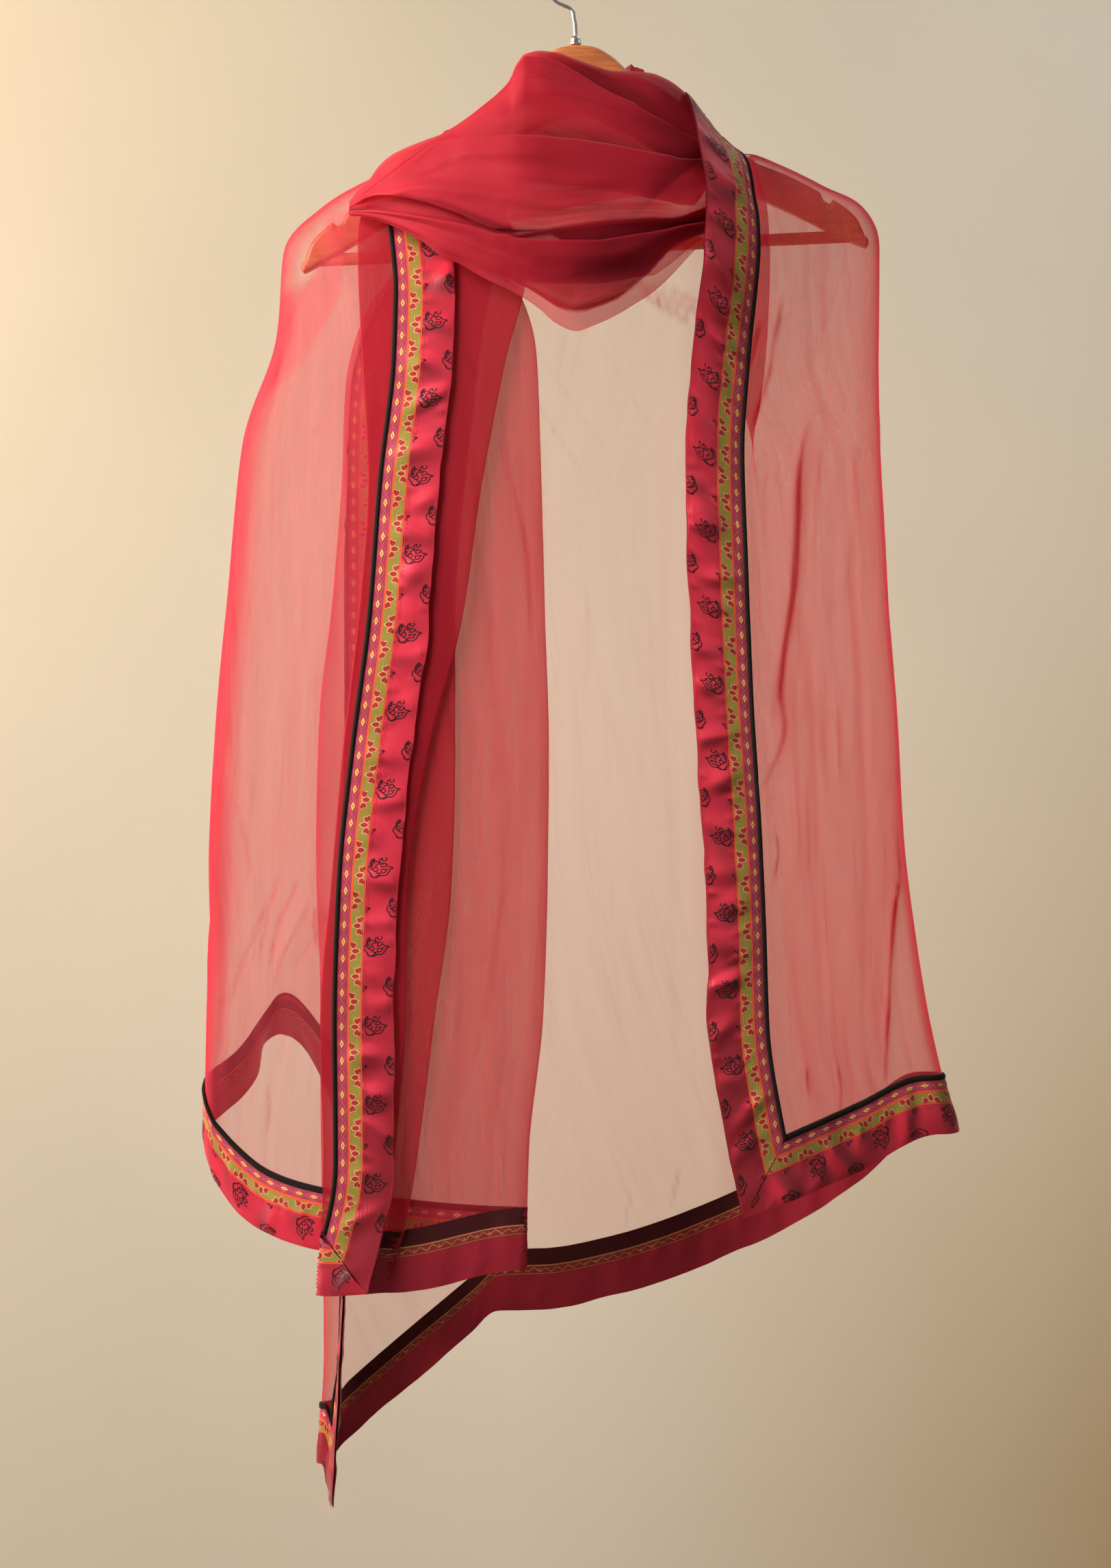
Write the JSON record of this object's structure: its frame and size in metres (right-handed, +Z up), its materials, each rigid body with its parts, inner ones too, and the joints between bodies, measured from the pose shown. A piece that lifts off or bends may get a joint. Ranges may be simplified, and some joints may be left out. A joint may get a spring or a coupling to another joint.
{
  "type": "dupatta stole on a wooden hanger",
  "caption": "Sheer crinkled silk stole with printed and satin borders, wound round a wooden hanger with its ends hanging as folded panels.",
  "frame": {"origin": "inside top of the wire hook, where a rail or peg carries it", "axes": "+X to the right of the front view, along the hanger; +Y away from the viewer, towards the back panel; +Z up"},
  "size_m": [0.5778, 0.1555, 1.1893],
  "materials": {
    "sheer_silk": "sheer crinkled chiffon, see-through in one layer",
    "crimson_satin": "satin with a black line-drawn floral print",
    "printed_tape": "matt printed tape, flowers on green beside diamonds on purple",
    "dark_piping": "matt cord piping",
    "honey_wood": "satin varnish",
    "hook_steel": "bright wire"
  },
  "bodies": {
    "root": {"stole_right_end": "sheer_silk", "stole_left_end": "sheer_silk", "stole_front_drape": "sheer_silk", "stole_neck_wrap": "sheer_silk", "right_front_edge_satin": "crimson_satin", "right_front_edge_tape": "printed_tape", "right_front_edge_piping": "dark_piping", "right_back_edge_satin": "crimson_satin", "right_back_edge_tape": "printed_tape", "right_back_edge_piping": "dark_piping", "right_hem_satin": "crimson_satin", "right_hem_tape": "printed_tape", "right_hem_piping": "dark_piping", "left_front_edge_satin": "crimson_satin", "left_front_edge_tape": "printed_tape", "left_front_edge_piping": "dark_piping", "left_back_edge_satin": "crimson_satin", "left_back_edge_tape": "printed_tape", "left_back_edge_piping": "dark_piping", "left_hem_satin": "crimson_satin", "left_hem_tape": "printed_tape", "left_hem_piping": "dark_piping", "hanger_arms": "honey_wood", "hanger_bar": "honey_wood", "hanger_ferrule": "hook_steel", "hanger_hook": "hook_steel"}
  },
  "joints": []
}
